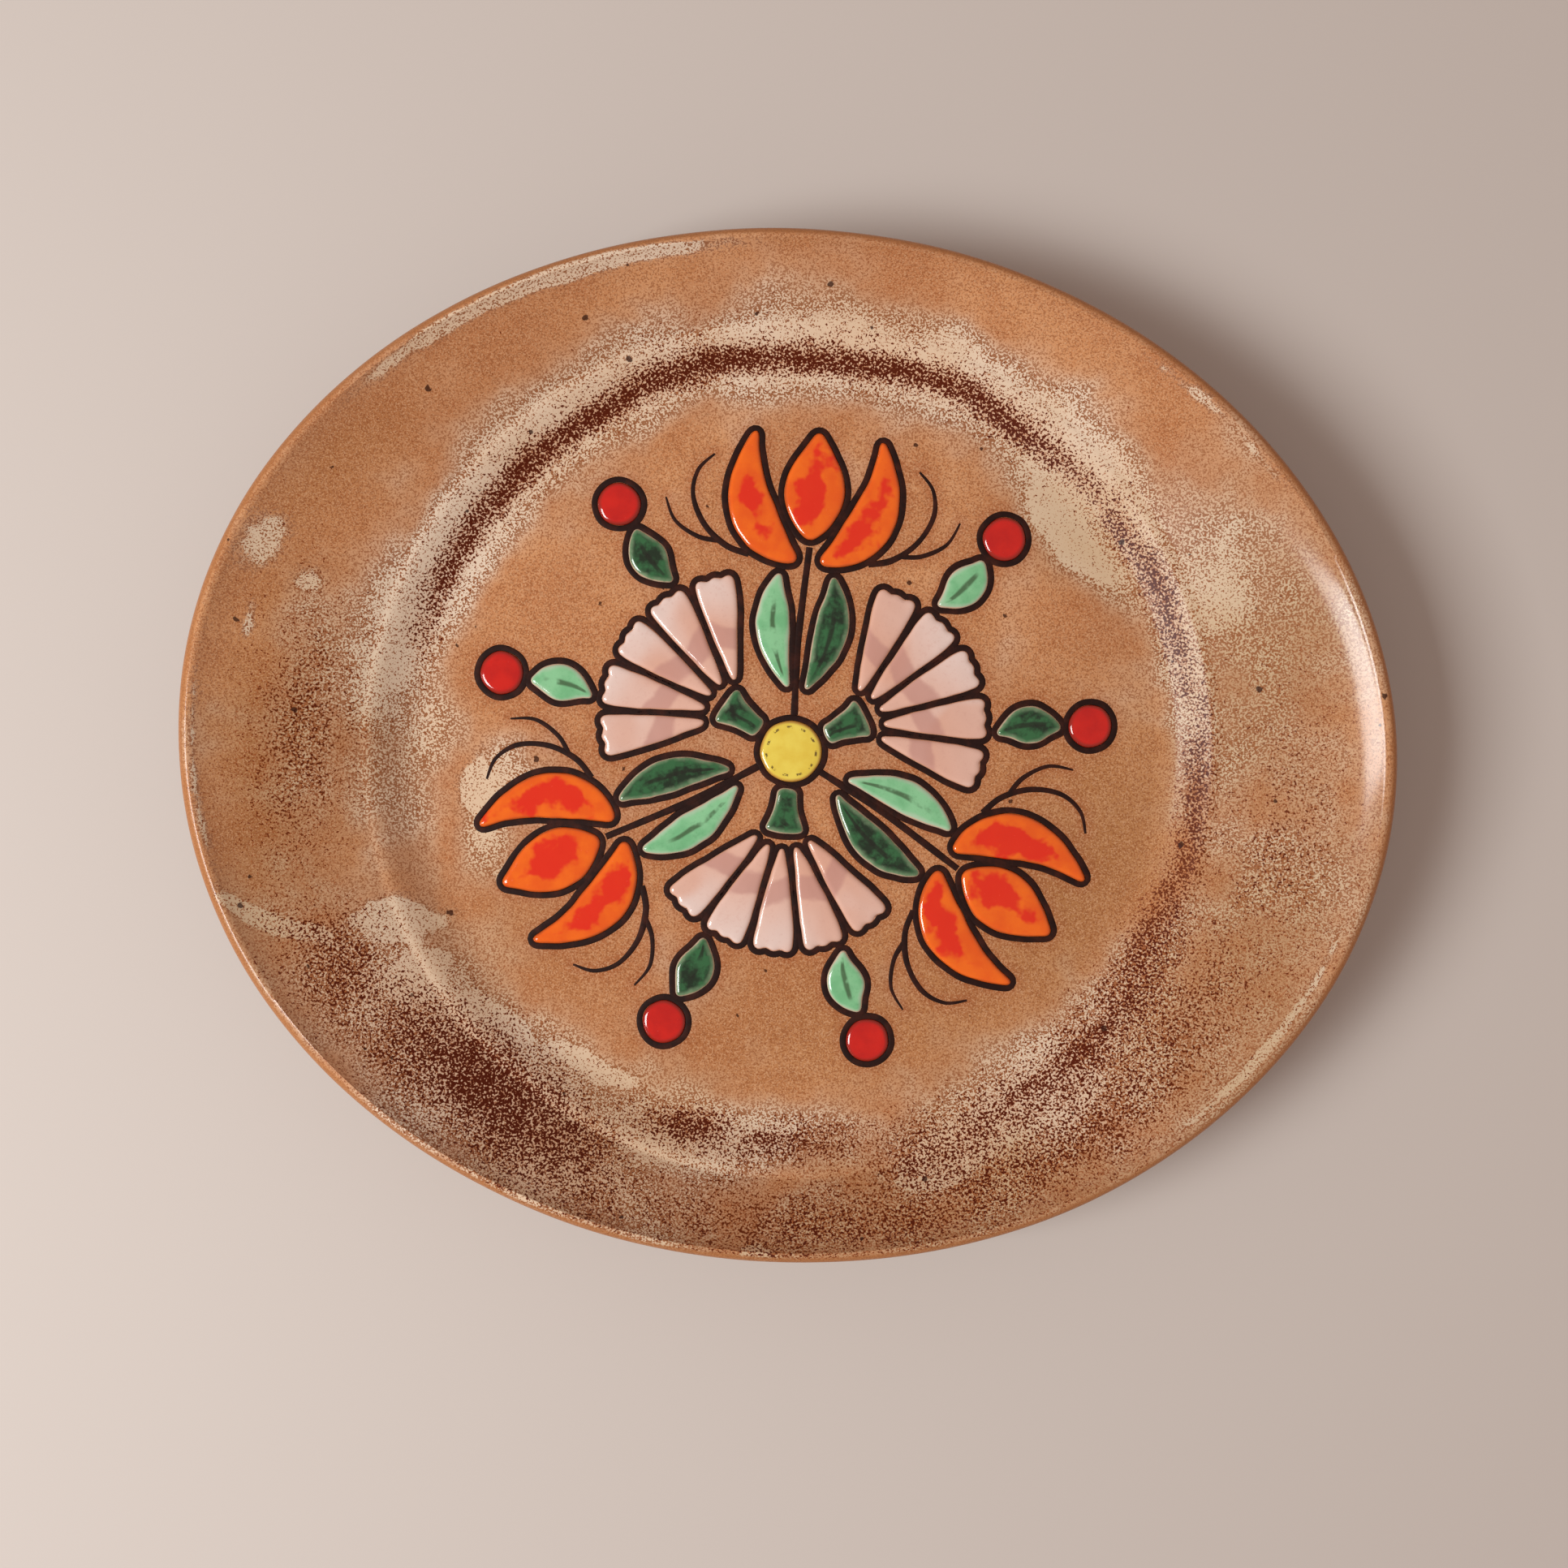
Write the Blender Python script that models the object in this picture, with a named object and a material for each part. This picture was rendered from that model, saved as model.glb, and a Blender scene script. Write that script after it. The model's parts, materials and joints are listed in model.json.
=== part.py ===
# Oval wall plate in glazed stoneware. A thrown dish has a round well and a rim pulled out into an
# oval. Its foot ring is pierced for a sprung wire bail, which hangs the plate on a nail, and the
# well's floor carries a pattern of raised enamel cells, each fired on as a pool of its own.
# The plate lies face up on its foot ring: X runs along the oval, Y to the hanging side, Z is up.

import math

import bmesh
import bpy
from mathutils import Matrix, Vector

# Plate body, in metres
WALL = 0.0055
FLOOR_RADIUS = 0.083
COVE_WIDTH = 0.016
COVE_RISE = 0.006
COVE_FLARE = 0.002
COVE_LEAN = 1.5
RIM_SIDE = 0.036
RIM_END = 0.016
RIM_RISE = 0.0129
LIP_RISE = 0.0016
LIP_CURL = 10
RIM_SEGMENTS = 72
SMOOTH_ANGLE = 40.0
COVE_STEPS = 7
RIM_STEPS = 9
LIP_STEPS = 6

# Foot ring under the well
FOOT_INSET = 0.017
FOOT_WIDTH = 0.007
FOOT_HEIGHT = 0.007
FOOT_FILLET = 0.0015
FOOT_EASE = 0.0012

# Wire bail sprung into two holes through the foot ring
WIRE = 0.0018
HOLE_CLEARANCE = 0.0004
HOLE_ANGLE = 43.0
HOLE_SIDES = 20
BAIL_CLEARANCE = 0.006
BAIL_BEND = 0.005
BAIL_STEPS = 14
BEND_STEPS = 4
PIN_SETBACK = 0.0015
TABLE_GAP = 0.0003

# Enamel cells on the floor of the well
ENAMEL_GAP = 0.0003
ENAMEL_HEIGHT = 0.0009
ENAMEL_EASE = 0.0006
PAINT_LINE = 0.002
FLOOR_MARGIN = 0.008
REPEATS = 3
FIRST_TULIP = 90.0
BLADE_STEPS = 9
DISC_SIDES = 20

# Heart and carnations in the middle
HEART_RADIUS = 0.007
CALYX_LENGTH = 0.010
CALYX_ROOT = 0.0042
CALYX_MOUTH = 0.0094
CALYX_STEPS = 5
FAN_DEPTH = 0.005
FAN_SPREAD = 108.0
FAN_PETALS = 5
PETAL_LENGTH = 0.0245
PETAL_ROOT = 0.0009
TOOTH_DEPTH = 0.0014
TEETH = 3

# Tulips on the outer ring, with a pair of leaves on each stem
TULIP_LENGTH = 0.031
TULIP_SPAN = 0.029
TULIP_BOW = 0.041
TULIP_PETAL_WIDTH = 0.0104
TULIP_MIDDLE_WIDTH = 0.0138
TULIP_MIDDLE_LIFT = 0.005
TULIP_BELLY = 0.44
LEAF_START = 0.014
LEAF_SPREAD = 0.0062
LEAF_WIDTH = 0.0076
STEM_ROOM = 0.0034
LEAF_BELLY = 0.53

# Berry sprigs between the tulips and the carnations
SPRIG_ANGLE = 40.0
BERRY_RADIUS = 0.0048
SPRIG_LEAF_WIDTH = 0.0084
SPRIG_LEAF_BOW = 0.003

# Sizes that follow from the ones above
floor_top = FOOT_HEIGHT + WALL
shoulder_radius = FLOOR_RADIUS + COVE_WIDTH
shoulder_top = floor_top + COVE_RISE
lip_top = shoulder_top + RIM_RISE + LIP_RISE
foot_outer = FLOOR_RADIUS - FOOT_INSET
foot_inner = foot_outer - FOOT_WIDTH
hole_height = FOOT_HEIGHT / 2
hole_offset = foot_inner * math.sin(math.radians(HOLE_ANGLE))
bail_radius = foot_inner - BAIL_CLEARANCE
bail_reach = bail_radius - hole_offset
enamel_base = floor_top + ENAMEL_GAP
pattern_radius = FLOOR_RADIUS - FLOOR_MARGIN
calyx_base = HEART_RADIUS + PAINT_LINE
fan_centre = calyx_base + CALYX_LENGTH - FAN_DEPTH
petal_angle = math.radians(FAN_SPREAD / FAN_PETALS)
petal_start = max(
    math.hypot(FAN_DEPTH, CALYX_MOUTH / 2) + PAINT_LINE,
    (PETAL_ROOT + PAINT_LINE) / 2 / math.tan(petal_angle / 2),
)
petal_end = petal_start + PETAL_LENGTH
tulip_base = pattern_radius - TULIP_LENGTH


def clear_scene():
    """Remove every object that the file opened with."""
    for old in list(bpy.data.objects):
        bpy.data.objects.remove(old, do_unlink=True)


def finish(name, colour, roughness, metallic=0.0):
    """Make a plain material for one kind of glaze, clay or wire."""
    material = bpy.data.materials.new(name)
    material.use_nodes = True
    shader = material.node_tree.nodes["Principled BSDF"]
    shader.inputs["Base Color"].default_value = (*colour, 1.0)
    shader.inputs["Roughness"].default_value = roughness
    shader.inputs["Metallic"].default_value = metallic
    return material


def add_object(name, data, material):
    """Put a named object with its material into the scene."""
    piece = bpy.data.objects.new(name, data)
    data.materials.clear()
    data.materials.append(material)
    bpy.context.scene.collection.objects.link(piece)
    return piece


def to_mesh(name, bm):
    """Close off a bmesh as a smooth-shaded mesh with its faces pointing out."""
    bmesh.ops.recalc_face_normals(bm, faces=bm.faces)
    mesh = bpy.data.meshes.new(name)
    bm.to_mesh(mesh)
    bm.free()
    mesh.shade_smooth()
    mesh.set_sharp_from_angle(angle=math.radians(SMOOTH_ANGLE))
    return mesh


def loft(bm, rings):
    """Join rings of vertices one after the other with faces and cap the first and the last."""
    for lower, upper in zip(rings, rings[1:]):
        for here in range(len(lower)):
            back = here - 1
            bm.faces.new((lower[back], lower[here], upper[here], upper[back]))
    bm.faces.new(rings[0])
    bm.faces.new(rings[-1])


def oval_ring(bm, half_x, half_y, height):
    """Add one oval of the plate's body and return its vertices."""
    turns = [math.tau * step / RIM_SEGMENTS for step in range(RIM_SEGMENTS)]
    return [bm.verts.new((half_x * math.cos(turn), half_y * math.sin(turn), height)) for turn in turns]


def cove_point(share):
    """Radius and height of the well's wall, from the floor at 0 to the shoulder at 1."""
    lean = share ** COVE_LEAN
    rise = lean * lean * (3 - 2 * lean)
    return FLOOR_RADIUS + COVE_WIDTH * share, floor_top + COVE_RISE * rise


def rim_oval(share, outset=0.0):
    """Half axes of the rim, round at the shoulder and oval at the lip."""
    side = shoulder_radius + (RIM_SIDE - WALL / 2) * share + outset
    end = shoulder_radius + (RIM_END - WALL / 2) * share + outset
    return side, end


def rim_height(share):
    """Height of the rim's face: a gentle slope that curls up at the lip."""
    return shoulder_top + RIM_RISE * share + LIP_RISE * share ** LIP_CURL


def plate_sections():
    """Ovals of the body, from the floor out over the lip and back under to the foot's recess."""
    coves = [cove_point(step / COVE_STEPS) for step in range(COVE_STEPS)]
    shares = [step / RIM_STEPS for step in range(RIM_STEPS + 1)]
    sections = [(radius, radius, height) for radius, height in coves]
    sections += [(*rim_oval(share), rim_height(share)) for share in shares]
    for step in range(1, LIP_STEPS):
        turn = math.pi * step / LIP_STEPS
        oval = rim_oval(1, WALL / 2 * math.sin(turn))
        sections.append((*oval, lip_top - WALL / 2 * (1 - math.cos(turn))))
    sections += [(*rim_oval(share), rim_height(share) - WALL) for share in reversed(shares[1:])]
    for step in range(COVE_STEPS, -1, -1):
        radius, height = cove_point(step / COVE_STEPS)
        sections.append((radius + COVE_FLARE, radius + COVE_FLARE, height - WALL))
    foot = [
        (foot_outer + FOOT_FILLET, FOOT_HEIGHT),
        (foot_outer, FOOT_HEIGHT - FOOT_FILLET),
        (foot_outer, FOOT_EASE),
        (foot_outer - FOOT_EASE, 0.0),
        (foot_inner + FOOT_EASE, 0.0),
        (foot_inner, FOOT_EASE),
        (foot_inner, FOOT_HEIGHT),
    ]
    return sections + [(radius, radius, height) for radius, height in foot]


def make_hole_cutter():
    """Make the rod that pierces both sides of the foot ring along the bail's axis."""
    bm = bmesh.new()
    lie = Matrix.Translation((0, hole_offset, hole_height)) @ Matrix.Rotation(math.pi / 2, 4, "Y")
    bore = WIRE / 2 + HOLE_CLEARANCE
    bmesh.ops.create_cone(
        bm, cap_ends=True, segments=HOLE_SIDES, radius1=bore, radius2=bore,
        depth=2 * foot_outer, matrix=lie,
    )
    cutter = bpy.data.objects.new("foot_hole_cutter", to_mesh("foot_hole_cutter", bm))
    cutter.hide_render = True
    cutter.display_type = "WIRE"
    bpy.context.scene.collection.objects.link(cutter)
    return cutter


def make_plate_body(material):
    """Make the ceramic dish in one piece with its foot ring."""
    bm = bmesh.new()
    loft(bm, [oval_ring(bm, *section) for section in plate_sections()])
    body = add_object("plate_body", to_mesh("plate_body", bm), material)
    pierce = body.modifiers.new("foot_holes", "BOOLEAN")
    pierce.operation = "DIFFERENCE"
    pierce.solver = "EXACT"
    pierce.object = make_hole_cutter()


def bowed_point(start, bow, end, share):
    """Point at a share of the way along a curve from start to end that leans towards bow."""
    return start * (1 - share) ** 2 + bow * 2 * share * (1 - share) + end * share ** 2


def bail_half():
    """Right half of the wire in the bail's own plane, from its pin to the top of its arch."""
    start = math.asin(hole_offset / bail_radius)
    corner = Vector((bail_radius * math.cos(start), 0.0))
    pin_end = math.sqrt(foot_outer ** 2 - hole_offset ** 2) - PIN_SETBACK
    first = start + BAIL_BEND / bail_radius
    arch = []
    for step in range(BAIL_STEPS + 1):
        angle = first + (math.pi / 2 - first) * step / BAIL_STEPS
        arch.append(Vector((bail_radius * math.cos(angle), bail_radius * math.sin(angle) - hole_offset)))
    pin = corner + Vector((BAIL_BEND, 0.0))
    route = [Vector((pin_end, 0.0))]
    for step in range(BEND_STEPS):
        route.append(bowed_point(pin, corner, arch[0], step / BEND_STEPS))
    return route + arch


def make_hanging_bail(material):
    """Bend the wire bail, resting on the table under the plate, with its origin on its hinge."""
    half = bail_half()
    route = half + [Vector((-point.x, point.y)) for point in reversed(half[:-1])]
    wire = bpy.data.curves.new("hanging_bail", "CURVE")
    wire.dimensions = "3D"
    wire.bevel_depth = WIRE / 2
    wire.bevel_resolution = 2
    wire.use_fill_caps = True
    spline = wire.splines.new("POLY")
    spline.points.add(len(route) - 1)
    for point, place in zip(spline.points, route):
        point.co = (place.x, place.y, 0.0, 1.0)
    bail = add_object("hanging_bail", wire, material)
    drop = math.asin((hole_height - WIRE / 2 - TABLE_GAP) / bail_reach)
    bail.location = (0.0, hole_offset, hole_height)
    bail.rotation_euler = (-drop, 0.0, 0.0)


def cell_mesh(name, outline):
    """Raise a cell of enamel from its outline, with its edge eased in towards the top."""
    bm = bmesh.new()
    base = [bm.verts.new((*point, 0.0)) for point in outline(0.0)]
    crown = [bm.verts.new((*point, ENAMEL_HEIGHT)) for point in outline(ENAMEL_EASE)]
    loft(bm, [base, crown])
    return to_mesh(name, bm)


def disc_mesh(name, radius):
    """Raise a round drop of enamel."""
    bm = bmesh.new()
    lift = Matrix.Translation((0, 0, ENAMEL_HEIGHT / 2))
    bmesh.ops.create_cone(
        bm, cap_ends=True, segments=DISC_SIDES, radius1=radius, radius2=radius - ENAMEL_EASE,
        depth=ENAMEL_HEIGHT, matrix=lift,
    )
    return to_mesh(name, bm)


def blade(root, bow, tip, width, belly):
    """Outline of a petal or leaf about a bowed midrib that is widest at the belly's share."""
    power = math.log(0.5) / math.log(belly)

    def outline(ease):
        left = []
        right = []
        for step in range(1, BLADE_STEPS):
            share = step / BLADE_STEPS
            rib = bowed_point(root, bow, tip, share)
            along = ((bow - root) * (1 - share) + (tip - bow) * share).normalized()
            half = width / 2 * math.sin(math.pi * share ** power)
            across = Vector((-along.y, along.x)) * (half - min(ease, half / 2))
            left.append(rib + across)
            right.append(rib - across)
        start = root + (bow - root).normalized() * ease
        end = tip + (bow - tip).normalized() * ease
        return [start, *right, end, *reversed(left)]

    return outline


def calyx(ease):
    """Outline of the green cup under a carnation, narrow at its root and open at its mouth."""
    sides = []
    for step in range(CALYX_STEPS + 1):
        share = step / CALYX_STEPS
        half = CALYX_ROOT / 2 + (CALYX_MOUTH - CALYX_ROOT) / 2 * share * share
        sides.append((ease + (CALYX_LENGTH - 2 * ease) * share, half - ease))
    right = [Vector((out, -half)) for out, half in sides]
    left = [Vector((out, half)) for out, half in reversed(sides)]
    return right + left


def fan_petal(index):
    """Outline of one of a carnation's petals, a wedge about the fan's centre with a toothed edge."""
    middle = petal_angle * (index - (FAN_PETALS - 1) / 2)

    def half_angle(radius, ease):
        return petal_angle / 2 - math.asin((PAINT_LINE / 2 + ease) / radius)

    def at(radius, angle):
        return Vector((radius * math.cos(middle + angle), radius * math.sin(middle + angle)))

    def outline(ease):
        low = petal_start + ease
        high = petal_end - ease
        trim = min(ease, PETAL_ROOT / 4)
        points = [at(low, -half_angle(low, trim))]
        for step in range(2 * TEETH + 1):
            radius = high - TOOTH_DEPTH * (1 - step % 2)
            points.append(at(radius, half_angle(radius, ease) * (step / TEETH - 1)))
        return points + [at(low, half_angle(low, trim))]

    return outline


def tulip_petal(side):
    """Outline of an outer petal of a tulip, from its foot round to its flaring tip."""
    root = Vector((0.0, side * PAINT_LINE))
    bow = Vector((TULIP_LENGTH / 4, side * TULIP_BOW / 2))
    tip = Vector((TULIP_LENGTH, side * TULIP_SPAN / 2))
    return blade(root, bow, tip, TULIP_PETAL_WIDTH, TULIP_BELLY)


def tulip_middle():
    """Outline of a tulip's middle petal, standing between the two outer ones."""
    root = Vector((TULIP_MIDDLE_LIFT, 0.0))
    tip = Vector((TULIP_LENGTH, 0.0))
    return blade(root, (root + tip) / 2, tip, TULIP_MIDDLE_WIDTH, TULIP_BELLY)


def stem_leaf(side):
    """Outline of a leaf beside a tulip's stem, drawn from the plate's centre."""
    root = Vector((LEAF_START, side * STEM_ROOM / 2))
    tip = Vector((tulip_base - PAINT_LINE, side * LEAF_SPREAD))
    bow = Vector(((root.x + tip.x) / 2, side * (LEAF_SPREAD + STEM_ROOM)))
    return blade(root, bow, tip, LEAF_WIDTH, LEAF_BELLY)


def sprig_leaf(side):
    """Outline of a sprig's leaf, filling the ground between a carnation and the sprig's berry."""
    lean = math.radians(180 / REPEATS - SPRIG_ANGLE)
    reach = math.sqrt(petal_end ** 2 - (fan_centre * math.sin(lean)) ** 2)
    root = Vector((fan_centre * math.cos(lean) + reach + PAINT_LINE, 0.0))
    tip = Vector((pattern_radius - 2 * BERRY_RADIUS - PAINT_LINE, 0.0))
    bow = (root + tip) / 2 + Vector((0.0, side * SPRIG_LEAF_BOW))
    return blade(root, bow, tip, SPRIG_LEAF_WIDTH, LEAF_BELLY)


def place_cell(name, mesh, material, angle, out=0.0):
    """Set a cell on the floor of the well, out from the centre along its own direction."""
    cell = add_object(name, mesh, material)
    turn = math.radians(angle)
    cell.location = (out * math.cos(turn), out * math.sin(turn), enamel_base)
    cell.rotation_euler = (0.0, 0.0, turn)


def make_tulip(number, angle, orange):
    """Lay one tulip: two outer petals and the middle one."""
    for side, word in ((1, "left"), (-1, "right")):
        mesh = cell_mesh("tulip_petal", tulip_petal(side))
        place_cell(f"tulip_{number}_{word}_petal", mesh, orange, angle, tulip_base)
    mesh = cell_mesh("tulip_middle", tulip_middle())
    place_cell(f"tulip_{number}_middle_petal", mesh, orange, angle, tulip_base)


def make_carnation(number, angle, pink, green):
    """Lay one carnation: its cup and its fan of petals."""
    place_cell(f"carnation_{number}_cup", cell_mesh("cup", calyx), green, angle, calyx_base)
    for index in range(FAN_PETALS):
        mesh = cell_mesh("fan_petal", fan_petal(index))
        place_cell(f"carnation_{number}_petal_{index + 1}", mesh, pink, angle, fan_centre)


def make_leaves(number, angle, left_green, right_green, red):
    """Lay the pair of leaves on a tulip's stem and the berry sprigs on both sides of the tulip."""
    for side, word, green, other in (
        (1, "left", left_green, right_green),
        (-1, "right", right_green, left_green),
    ):
        mesh = cell_mesh("stem_leaf", stem_leaf(side))
        place_cell(f"stem_leaf_{number}_{word}", mesh, green, angle)
        turned = angle + side * SPRIG_ANGLE
        mesh = cell_mesh("sprig_leaf", sprig_leaf(side))
        place_cell(f"sprig_leaf_{number}_{word}", mesh, other, turned)
        mesh = disc_mesh("berry", BERRY_RADIUS)
        place_cell(f"berry_{number}_{word}", mesh, red, turned, pattern_radius - BERRY_RADIUS)


def make_pattern():
    """Lay all the enamel cells: a heart, with carnations and tulips turn about round it."""
    orange = finish("orange_enamel", (0.82, 0.13, 0.01), 0.15)
    pink = finish("pink_enamel", (0.78, 0.54, 0.47), 0.15)
    mint = finish("mint_enamel", (0.25, 0.55, 0.29), 0.15)
    bottle = finish("bottle_green_enamel", (0.01, 0.07, 0.02), 0.15)
    yellow = finish("yellow_enamel", (0.82, 0.65, 0.12), 0.15)
    red = finish("red_enamel", (0.55, 0.01, 0.005), 0.15)
    place_cell("pattern_heart", disc_mesh("pattern_heart", HEART_RADIUS), yellow, 0.0)
    for repeat in range(REPEATS):
        angle = FIRST_TULIP + 360.0 * repeat / REPEATS
        make_tulip(repeat + 1, angle, orange)
        make_leaves(repeat + 1, angle, mint, bottle, red)
        make_carnation(repeat + 1, angle + 180.0 / REPEATS, pink, bottle)


clear_scene()
make_plate_body(finish("speckled_stoneware_glaze", (0.48, 0.22, 0.09), 0.35))
make_hanging_bail(finish("galvanised_wire", (0.42, 0.41, 0.39), 0.4, 1.0))
make_pattern()
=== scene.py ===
import json
import math

import bmesh
import bpy
import numpy as np
from mathutils import Matrix, Vector, noise


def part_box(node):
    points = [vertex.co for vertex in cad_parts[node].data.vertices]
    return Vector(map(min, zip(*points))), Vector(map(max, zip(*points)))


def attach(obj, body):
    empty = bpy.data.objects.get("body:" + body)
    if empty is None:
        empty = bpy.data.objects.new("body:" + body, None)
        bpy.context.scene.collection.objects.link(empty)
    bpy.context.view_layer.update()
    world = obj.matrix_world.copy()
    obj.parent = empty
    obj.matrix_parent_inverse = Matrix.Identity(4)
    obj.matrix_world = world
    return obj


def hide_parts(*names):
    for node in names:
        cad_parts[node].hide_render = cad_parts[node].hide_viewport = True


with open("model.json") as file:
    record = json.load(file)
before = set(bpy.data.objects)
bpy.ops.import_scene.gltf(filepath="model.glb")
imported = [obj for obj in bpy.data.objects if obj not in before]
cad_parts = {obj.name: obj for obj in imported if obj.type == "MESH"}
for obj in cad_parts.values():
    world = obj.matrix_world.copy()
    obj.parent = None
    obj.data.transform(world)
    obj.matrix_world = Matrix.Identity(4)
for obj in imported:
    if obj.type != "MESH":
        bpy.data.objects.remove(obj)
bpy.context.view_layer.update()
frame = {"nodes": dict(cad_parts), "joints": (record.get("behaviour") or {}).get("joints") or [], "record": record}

# The dish: one piece of stoneware, thrown with a round well and pulled out by hand into an oval,
# with a turned foot ring. It is dipped in cream glaze, washed over with tan and spattered with
# iron, which gathers along the shoulder of the well and at the lower left of the rim.
WALL = 0.0055
FLOOR_RADIUS = 0.083
SHOULDER_RADIUS = 0.099
SHOULDER_RISE = 0.006
COVE_FLARE = 0.002
COVE_LEAN = 1.5
RIM_RISE = 0.0129
LIP_CURL = 10
FOOT_OUTER = 0.066
FOOT_INNER = 0.059
FOOT_HEIGHT = 0.007
FOOT_FILLET = 0.0015
FOOT_EASE = 0.0012
BACK_LEAD = 0.006
RECESS_EASE = 0.001
SPIN_STEPS = 360
dish_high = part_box("plate_body")[1]
floor_top = FOOT_HEIGHT + WALL
shoulder_top = floor_top + SHOULDER_RISE
lip_top = dish_high.z
lip_rise = lip_top - shoulder_top - RIM_RISE
lip_centre_x = dish_high.x - WALL / 2
lip_centre_y = dish_high.y - WALL / 2


def dish_profile():
    """Half section of the dish, from the middle of the floor over the lip to the recess under it."""
    points = [(FLOOR_RADIUS * step / 54, floor_top) for step in range(54)]
    cove = []
    for step in range(25):
        share = step / 24
        lean = share ** COVE_LEAN
        rise = lean * lean * (3 - 2 * lean)
        radius = FLOOR_RADIUS + (SHOULDER_RADIUS - FLOOR_RADIUS) * share
        cove.append((radius, floor_top + SHOULDER_RISE * rise))
    points += cove
    rim = []
    for step in range(1, 41):
        share = step / 40
        height = shoulder_top + RIM_RISE * share + lip_rise * share ** LIP_CURL
        rim.append((SHOULDER_RADIUS + (lip_centre_x - SHOULDER_RADIUS) * share, height))
    points += rim
    for step in range(1, 14):
        turn = math.pi * step / 14
        points.append((
            lip_centre_x + WALL / 2 * math.sin(turn),
            lip_top - WALL / 2 * (1 - math.cos(turn)),
        ))
    points += [(radius, height - WALL) for radius, height in reversed(rim[3::2])]
    points += [(radius + COVE_FLARE, height - WALL) for radius, height in reversed(cove[::2])]
    points.append((FOOT_OUTER + BACK_LEAD, FOOT_HEIGHT))
    for step in range(6):
        turn = math.pi / 2 * step / 5
        points.append((
            FOOT_OUTER + FOOT_FILLET * (1 - math.sin(turn)),
            FOOT_HEIGHT - FOOT_FILLET * (1 - math.cos(turn)),
        ))
    points.append((FOOT_OUTER, FOOT_HEIGHT / 2))
    for step in range(6):
        turn = math.pi / 2 * step / 5
        points.append((FOOT_OUTER - FOOT_EASE * (1 - math.cos(turn)), FOOT_EASE * (1 - math.sin(turn))))
    for step in range(6):
        turn = math.pi / 2 * step / 5
        points.append((FOOT_INNER + FOOT_EASE * (1 - math.sin(turn)), FOOT_EASE * (1 - math.cos(turn))))
    points += [(FOOT_INNER, FOOT_HEIGHT / 2), (FOOT_INNER, FOOT_HEIGHT - RECESS_EASE)]
    points.append((FOOT_INNER - RECESS_EASE, FOOT_HEIGHT))
    points += [(FOOT_INNER * (1 - step / 12), FOOT_HEIGHT) for step in range(1, 13)]
    return points


def add_piece(name, mesh, material, body, slot, *nodes):
    """Show a finished mesh as a piece that rides on a body, in place of the nodes that it stands for."""
    piece = bpy.data.objects.new(name, mesh)
    bpy.context.scene.collection.objects.link(piece)
    mesh.materials.clear()
    mesh.materials.append(material)
    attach(piece, body)
    if nodes:
        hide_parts(*nodes)


HOLE_RADIUS = 0.0013
hinge = Vector(frame["joints"][0]["pos_m"])

bm = bmesh.new()
lip_layer = bm.verts.layers.float.new("lip")
gloss_layer = bm.verts.layers.float.new("gloss")
chain = [bm.verts.new((radius, 0.0, height)) for radius, height in dish_profile()]
section = [bm.edges.new(pair) for pair in zip(chain, chain[1:])]
bmesh.ops.spin(
    bm, geom=chain + section, cent=(0, 0, 0), axis=(0, 0, 1), angle=math.tau,
    steps=SPIN_STEPS, use_merge=True,
)
bmesh.ops.remove_doubles(bm, verts=bm.verts, dist=0.00001)
bmesh.ops.recalc_face_normals(bm, faces=bm.faces)

# The oval is drawn out of the round rim by hand, so its middle lies a little up and to the left
# of the well's, it is pulled slightly long, and its lip rises, falls and wanders.
RIM_SHIFT = Vector((-0.0014, 0.0004, 0.0))
RIM_STRETCH = 0.007
LIP_WAVER = 0.0006
SLAB_WAVER = 0.00025
OUTLINE_WAVER = 0.006
LIP_EDGE = 0.0024
GLOSS_SHARES = (0.78, 0.94, 1.0, 1.04)
for vert in bm.verts:
    radius = math.hypot(vert.co.x, vert.co.y)
    if radius <= SHOULDER_RADIUS:
        continue
    share = (radius - SHOULDER_RADIUS) / (lip_centre_x - SHOULDER_RADIUS)
    vert[lip_layer] = min(max((radius - lip_centre_x) / LIP_EDGE, 0), 1)
    vert[gloss_layer] = np.interp(share, GLOSS_SHARES, (0, 1, 1, 0))
    along_y = SHOULDER_RADIUS + (lip_centre_y - SHOULDER_RADIUS) * min(share, 1)
    along_y += max(radius - lip_centre_x, 0)
    vert.co.y *= along_y / radius
    pull = min(share, 1) ** 2
    waver = LIP_WAVER * noise.noise(vert.co * 14)
    vert.co += RIM_SHIFT * pull
    vert.co.z += waver * pull + SLAB_WAVER * noise.noise(vert.co * 45) * pull
    vert.co.x *= 1 + RIM_STRETCH * pull
    vert.co.x *= 1 + OUTLINE_WAVER * noise.noise(vert.co * 9 + Vector((3, 1, 4))) * pull
    vert.co.y *= 1 + OUTLINE_WAVER * noise.noise(vert.co * 9 + Vector((7, 2, 5))) * pull
# The faces are split into triangles before the cut below, because the cut starts each face at
# another corner in each run, which leaves the diagonals of larger faces to chance.
bmesh.ops.triangulate(bm, faces=bm.faces, quad_method="FIXED")
dish_mesh = bpy.data.meshes.new("plate_dish")
bm.to_mesh(dish_mesh)
bm.free()

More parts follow.
